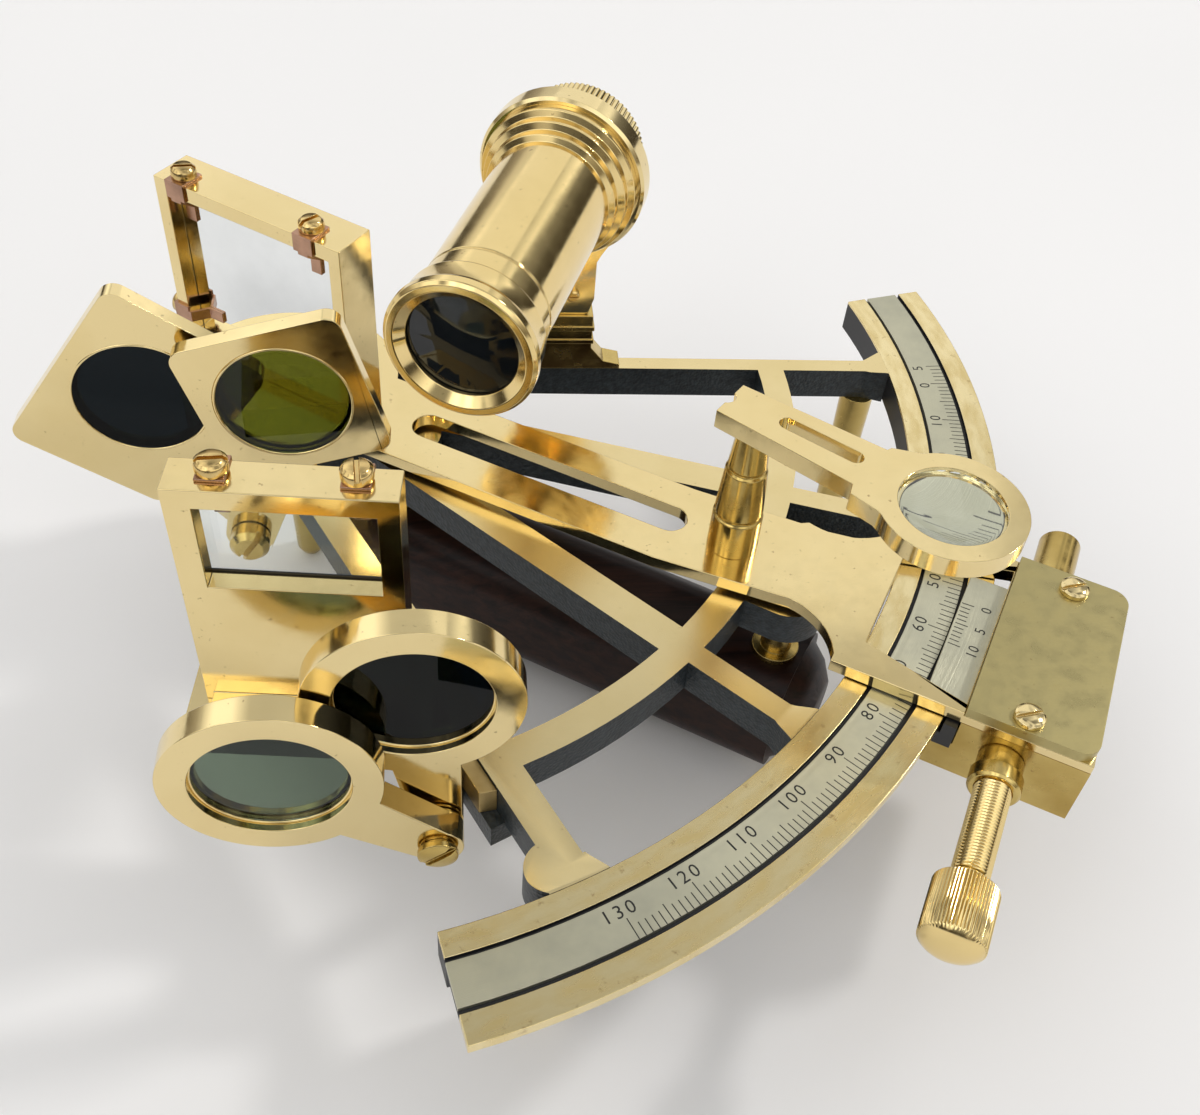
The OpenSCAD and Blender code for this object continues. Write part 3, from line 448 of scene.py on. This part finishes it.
def turned(name, rows, place, body, node, finish, around=96, ring=False):
    """Lathe form: each row is (z, radius or function of the angle), and a ring has its first row again."""
    bm = bmesh.new()
    loops = []
    for z, radius in rows:
        loop = []
        for a in circle_steps(around):
            r = radius(a) if callable(radius) else radius
            loop.append(bm.verts.new(place @ Vector((r * math.cos(a) * MM, r * math.sin(a) * MM, z * MM))))
        loops.append(loop)
    if ring:
        loops.append(loops[0])
    for lower, upper in zip(loops, loops[1:]):
        for i in range(around):
            j = (i + 1) % around
            bm.faces.new((lower[i], lower[j], upper[j], upper[i]))
    if not ring:
        bm.faces.new(loops[0])
        bm.faces.new(loops[-1])
    ob = object_from(name, bm, finish)
    ob.data.set_sharp_from_angle(angle=math.radians(TURNED_SHARP_ANGLE))
    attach(ob, body)
    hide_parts(node)


def knurl(r, count, depth):
    return lambda a: r - depth * (0.5 + 0.5 * math.cos(count * a)) ** 2


def saw(x):
    """Triangle wave from 1 down to 0 and back over each whole step of x."""
    x -= math.floor(x)
    return abs(2 * x - 1)


TANGENT_R = 3.5
KNOB_R = 6.0
KNOB_RIDGES = 56
KNOB_RIDGE_DEPTH = 0.32
THREAD_PITCH = 0.7
THREAD_DEPTH = 0.36
THREAD_START = -12
THREAD_END = 27.4
ROWS_PER_PITCH = 6
BLOCK_PLACE = (170.8, -5, 46.4)
BLOCK_TURN = 2
SCREW_MIDDLE = (0, -15, 0)
AT_SCREW = frame_at(("z", ARM_ANGLE), BLOCK_PLACE, ("z", BLOCK_TURN), SCREW_MIDDLE, ("x", 90))


def tangent_screw():
    """Tip, core in the block, thread up to the knob, neck, knurled knob and its domed end."""
    tip = [(-42, AXIS_R), (-42, 2.0), (-41.4, 2.6), (-37.7, 2.6), (-37.7, 2.9)]
    core_r = TANGENT_R - THREAD_DEPTH
    core = [(-37.2, core_r), (THREAD_START - 0.1, core_r)]
    thread = []
    z = THREAD_START
    while z < THREAD_END:
        thread.append((z, lambda a, z=z: TANGENT_R - THREAD_DEPTH * saw(z / THREAD_PITCH - a / (2 * math.pi))))
        z += THREAD_PITCH / ROWS_PER_PITCH
    neck = [(27.5, 3.0), (28.0, 3.0), (28.1, 3.3), (29, 3.3), (29, 5.2), (29.5, 5.8)]
    ridges = knurl(KNOB_R, KNOB_RIDGES, KNOB_RIDGE_DEPTH)
    knob = [(29.7, ridges), (35, ridges), (40.9, ridges)]
    dome = [(41.2, 5.6), (41.7, 5.1), (42.2, 4.2), (42.55, 2.9), (42.68, 1.4), (42.7, AXIS_R)]
    turned("threaded_tangent_screw", tip + core + thread + neck + knob + dome, AT_SCREW, "tangent_screw",
           "tangent_screw", TURNED, around=224)


EYEPIECE_BORE_R = 11.45
EYEPIECE_START = 66.6
EYEPIECE_RIDGES = 72
EYEPIECE_RIDGE_DEPTH = 0.35
SCOPE_PLACE = (37.5, -53.5, 102.9)
SCOPE_TURN = 69.4
AT_SCOPE = frame_at(SCOPE_PLACE, ("z", SCOPE_TURN), ("y", 90))


def eyepiece_ring():
    r, c = EYEPIECE_BORE_R, EYEPIECE_START
    ridges = knurl(r + 2.2, EYEPIECE_RIDGES, EYEPIECE_RIDGE_DEPTH)
    rows = [(c + 2.6, r), (c + 2.6, r + 1.5), (c + 3.1, r + 1.8), (c + 3.3, ridges), (c + 6.5, ridges),
            (c + 9.9, ridges), (c + 10.1, r + 1.8), (c + 10.6, r + 1.3), (c + 10.6, r)]
    turned("knurled_eyepiece_ring", rows, AT_SCOPE, "eyepiece", "eyepiece_ring", POLISHED, around=288,
           ring=True)


CLAMP_R = 6.5
CLAMP_RIDGES = 40
CLAMP_RIDGE_DEPTH = 0.45
CLAMP_SHANK_R = 2.5
CLAMP_PLACE = (155.2, 0, 0)
AT_CLAMP = frame_at(("z", ARM_ANGLE), CLAMP_PLACE)


def clamp_screw():
    """Knurled head from its underside up, then the shank."""
    ridges = knurl(CLAMP_R, CLAMP_RIDGES, CLAMP_RIDGE_DEPTH)
    head = [(27.7, AXIS_R), (27.7, 5.4), (28.3, 6.0), (28.5, ridges), (36.2, ridges), (36.4, 5.8), (36.5, 5),
            (37.2, 5)]
    shank = [(37.2, CLAMP_SHANK_R), (49.1, CLAMP_SHANK_R), (49.1, AXIS_R)]
    turned("knurled_clamp_screw", head + shank, AT_CLAMP, "clamp_screw", "clamp_screw", TURNED, around=160)


LENS_EDGE_R = 10.25
LENS_SEAT_R = 9.65
LENS_SAG = 0.6
LENS_LOW = 0.85
LENS_HIGH = 3.15
LENS_STEPS = 10
MAGNIFIER_POST = (107.5, 0, 87.2)
MAGNIFIER_TURN = -10.2
LENS_FROM_POST = (40, -0.6, 0)
AT_LENS = frame_at(("z", ARM_ANGLE), MAGNIFIER_POST, ("z", MAGNIFIER_TURN), LENS_FROM_POST)


def magnifier_lens():
    """Convex lens in its groove, domed on both sides."""
    shares = [k / LENS_STEPS for k in range(1, LENS_STEPS + 1)]
    dome = [(LENS_SAG * (1 - k ** 2), LENS_SEAT_R * k) for k in shares]
    below = [(LENS_LOW - LENS_SAG, AXIS_R)] + [(LENS_LOW - h, r) for h, r in dome] + [(LENS_LOW, LENS_EDGE_R)]
    above = [(LENS_HIGH, LENS_EDGE_R)] + [(LENS_HIGH + h, r) for h, r in reversed(dome)]
    above += [(LENS_HIGH + LENS_SAG, AXIS_R)]
    turned("convex_magnifier_lens", below + above, AT_LENS, "magnifier", "magnifier_lens", CLEAR)


tangent_screw()
eyepiece_ring()
clamp_screw()
magnifier_lens()


# Thin retaining rings at the edge of each shade glass

RING_WIRE = 0.28
RING_INSET = 0.6 * RING_WIRE
RING_AROUND = 96
RING_SIDES = 8


def retaining_rings(glass_node, body):
    """One wire ring on each face of a glass disc, its axis taken from the disc's flat faces."""
    me = N[glass_node].data
    turn = N[glass_node].matrix_world
    face = max(me.polygons, key=lambda p: p.area)
    axis = (turn.to_3x3() @ face.normal).normalized()
    points = [turn @ v.co for v in me.vertices]
    middle = sum(points, Vector()) / len(points)
    half = max((p - middle).dot(axis) for p in points)
    radius = max(((p - middle) - axis * (p - middle).dot(axis)).length for p in points) - RING_INSET * MM
    across = axis.orthogonal().normalized()
    up = axis.cross(across)
    bm = bmesh.new()
    for side in (-1, 1):
        rows = []
        for a in circle_steps(RING_AROUND):
            out = across * math.cos(a) + up * math.sin(a)
            wire = middle + axis * side * half + out * radius
            rows.append([bm.verts.new(wire + (out * math.cos(b) + axis * math.sin(b)) * RING_WIRE * MM)
                         for b in circle_steps(RING_SIDES)])
        for i, row in enumerate(rows):
            after = rows[(i + 1) % RING_AROUND]
            for j in range(RING_SIDES):
                k = (j + 1) % RING_SIDES
                bm.faces.new((row[j], row[k], after[k], after[j]))
    ob = object_from(glass_node + "_retaining_rings", bm, POLISHED)
    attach(ob, body)


for shade in ("left_shade", "right_shade", "front_shade", "rear_shade"):
    retaining_rings(shade + "_glass", shade)


# Scale and vernier: ticks and plain numbers

MARK_HEIGHT = 0.02
MARK_EXTRUDE = 0.01

SCALE_FIRST = -5
SCALE_LAST = 130
SCALE_Z = TOP - 0.1
SCALE_EDGE = 153.8
SCALE_TICK_W = 0.2
TEN_TICK = 4.1
FIVE_TICK = 3.4
ONE_TICK = 2.7
NUMERAL_R = 148.25
NUMERAL_SIZE = 3.5
NUMERAL_SPACING = 1.3
NUMERAL_SHIFT = -0.25

VERNIER_Z = 53.4
VERNIER_ZERO = -27.2
VERNIER_STEP = -0.43
VERNIER_STEPS = 10
VERNIER_EDGE = 154.5
VERNIER_LONG = 157.0
VERNIER_SHORT = 156.4
VERNIER_TICK_W = 0.22
VERNIER_NUMERAL_R = 159.6
VERNIER_NUMERAL_SIZE = 3.0
VERNIER_SPACING = 1.15


def add_tick(bm, angle, r0, r1, z, width):
    m = Matrix.Rotation(math.radians(angle), 4, "Z") @ Matrix.Translation(Vector(((r0 + r1) / 2, 0, z)) * MM)
    m = m @ Matrix.Diagonal((abs(r1 - r0) * MM, width * MM, MARK_HEIGHT * MM, 1))
    bmesh.ops.create_cube(bm, size=1, matrix=m)


def add_number(bm, text, angle, r, z, size, spacing):
    """Plain number whose top points to the pivot."""
    cu = bpy.data.curves.new("number", "FONT")
    cu.body = text
    cu.size = size * MM
    cu.space_character = spacing
    cu.align_x = "CENTER"
    cu.align_y = "CENTER"
    cu.extrude = MARK_EXTRUDE * MM
    cu.resolution_u = 3
    ob = add_object("number", cu)
    bpy.context.view_layer.update()
    me = bpy.data.meshes.new_from_object(ob.evaluated_get(bpy.context.evaluated_depsgraph_get()))
    me.transform(frame_at(("z", angle), (r, 0, z), ("z", 90)))
    bm.from_mesh(me)
    bpy.data.objects.remove(ob)
    bpy.data.curves.remove(cu)
    bpy.data.meshes.remove(me)


def engraved(name, bm, body):
    ob = object_from(name, bm, INK, smooth=False)
    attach(ob, body)


def scale_marks():
    """One tick for each degree of reading, which is half a degree of arc."""
    ticks, numbers = bmesh.new(), bmesh.new()
    for d in range(SCALE_FIRST, SCALE_LAST + 1):
        length = TEN_TICK if d % 10 == 0 else FIVE_TICK if d % 5 == 0 else ONE_TICK
        add_tick(ticks, -d / 2, SCALE_EDGE - length, SCALE_EDGE, SCALE_Z, SCALE_TICK_W)
        if d % 10 == 0 or d == SCALE_FIRST:
            add_number(numbers, str(abs(d)), -d / 2 + NUMERAL_SHIFT, NUMERAL_R, SCALE_Z, NUMERAL_SIZE,
                       NUMERAL_SPACING)
    engraved("scale_ticks", ticks, "frame")
    engraved("scale_numbers", numbers, "frame")


def vernier_marks():
    ticks, numbers = bmesh.new(), bmesh.new()
    for i in range(VERNIER_STEPS + 1):
        angle = VERNIER_ZERO + VERNIER_STEP * i
        numbered = i % 5 == 0
        end = VERNIER_LONG if numbered else VERNIER_SHORT
        add_tick(ticks, angle, VERNIER_EDGE, end, VERNIER_Z, VERNIER_TICK_W)
        if numbered:
            add_number(numbers, str(i), angle, VERNIER_NUMERAL_R, VERNIER_Z, VERNIER_NUMERAL_SIZE,
                       VERNIER_SPACING)
    engraved("vernier_ticks", ticks, "index_arm")
    engraved("vernier_numbers", numbers, "index_arm")


scale_marks()
vernier_marks()


# Camera: the photograph's viewpoint, in axes with their zero at the limb's top face

CAMERA_RIGHT = (0.99430, -0.08343, 0.06646)
CAMERA_AHEAD = (0.10555, 0.67977, -0.72579)
CAMERA_PLACE = (37.085, -239.214, 196.341)
FOCAL_PIXELS = 1326.97
IMAGE_WIDTH = 1200
SENSOR = 36
CLIP_METRES = (0.005, 20)


def aim_camera():
    cam = bpy.data.cameras.new("view_camera")
    ob = add_object("view_camera", cam)
    ahead = Vector(CAMERA_AHEAD).normalized()
    up = Vector(CAMERA_RIGHT).normalized().cross(ahead).normalized()
    right = ahead.cross(up).normalized()
    m = Matrix((right, up, -ahead)).transposed().to_4x4()
    x, y, z = CAMERA_PLACE
    m.translation = Vector((x, y, z + TOP)) * MM
    ob.matrix_world = m
    cam.sensor_fit = "HORIZONTAL"
    cam.sensor_width = SENSOR
    cam.lens = FOCAL_PIXELS * SENSOR / IMAGE_WIDTH
    cam.clip_start, cam.clip_end = CLIP_METRES
    bpy.context.scene.camera = ob


# Studio: places, sizes and directions here are in metres

LAMP_TARGET = (0.06, -0.05, 0.05)
FLOOR_HALF = 6
FLOOR_DROP = 0.00005

# World tones from straight down to straight up
SKY_TONES = (
    (0.0, (0.26, 0.22, 0.16)),
    (0.5, (0.16, 0.14, 0.11)),
    (0.60, (0.34, 0.32, 0.29)),
    (0.72, (1.1, 1.1, 1.08)),
    (0.90, (1.1, 1.1, 1.1)),
    (1.0, (0.60, 0.60, 0.60)),
)
SKY_STRENGTH = 1.12
PATCHES = (1.9, 1.0, 0.5)
PATCH_DISTORTION = 0.6
PATCH_EDGE = (0.44, 0.52)
PATCH_DIM = 0.26
PATCH_BRIGHT = 1.12

# The world is even around this direction, the one that flat tops mirror into the camera
CALM_TOWARD = (0.105, 0.68, 0.726)
CALM_FROM = 0.82
CALM_FULL = 0.93
CALM_LEVEL = 0.50

BACKDROP = (0.9, 0.9, 0.9)


def lamp(name, where, size, power, color, size_y=None):
    """Rectangular lamp aimed at the object; its sides are equal unless size_y is given."""
    light = bpy.data.lights.new(name, "AREA")
    light.shape = "RECTANGLE"
    light.size = size
    light.size_y = size_y or size
    light.energy = power
    light.color = color
    ob = add_object(name, light)
    ob.location = where
    ob.rotation_euler = (Vector(LAMP_TARGET) - Vector(where)).to_track_quat("-Z", "Y").to_euler()


def lay_floor():
    s, z = FLOOR_HALF, -FLOOR_DROP
    me = bpy.data.meshes.new("floor")
    me.from_pydata([(-s, -s, z), (s, -s, z), (s, s, z), (-s, s, z)], [], [(0, 1, 2, 3)])
    floor = add_object("floor", me)
    m = Mat("floor_finish")
    clouds = m.remap(m.noise(*FLOOR_CLOUDS), low=0.3, high=0.7)
    m.set(color=m.mix(clouds, (0.95, 0.94, 0.94), (0.92, 0.912, 0.912)), rough=0.6)
    paint(floor, m)


def light_world():
    """Bright and dim patches for the metals to mirror, and an even backdrop for the camera."""
    world = bpy.data.worlds.new("studio")
    bpy.context.scene.world = world
    world.use_nodes = True
    world.node_tree.nodes.clear()
    sky = Nodes(world.node_tree, "Generated")
    ramp = sky.new("ValToRGB")
    stops = ramp.color_ramp.elements
    for place, tone in SKY_TONES[1:-1]:
        stops.new(place)
    for stop, (place, tone) in zip(stops, SKY_TONES):
        stop.position = place
        stop.color = (*tone, 1)
    sky.put(ramp.inputs[0], sky.remap(sky.xyz()[2], -1, 1))
    noise = sky.noise(*PATCHES, distortion=PATCH_DISTORTION)
    patches = sky.remap(noise, *PATCH_EDGE, PATCH_DIM, PATCH_BRIGHT)
    calm = sky.remap(sky.dot(sky.co, CALM_TOWARD), CALM_FROM, CALM_FULL)
    strength = sky.math("MULTIPLY", sky.mix_value(calm, patches, CALM_LEVEL), SKY_STRENGTH)
    mirrored, seen = sky.new("Background"), sky.new("Background")
    sky.put(mirrored.inputs[0], ramp.outputs[0])
    sky.put(mirrored.inputs[1], strength)
    sky.put(seen.inputs[0], BACKDROP)
    choice = sky.new("MixShader")
    sky.put(choice.inputs[0], sky.new("LightPath").outputs["Is Camera Ray"])
    sky.put(choice.inputs[1], mirrored.outputs[0])
    sky.put(choice.inputs[2], seen.outputs[0])
    sky.put(sky.new("OutputWorld").inputs[0], choice.outputs[0])


aim_camera()
lay_floor()
lamp("key", (3.0, 0.9, 3.1), 0.42, 40, (1, 0.98, 0.95))
lamp("back", (0.2, 1.2, 1.0), 1.2, 1.0, (1, 0.99, 0.97), size_y=0.7)
lamp("front", (-0.6, -0.8, 1.0), 0.6, 1.0, (0.97, 0.98, 1))
light_world()
bpy.context.scene.view_settings.view_transform = "Standard"
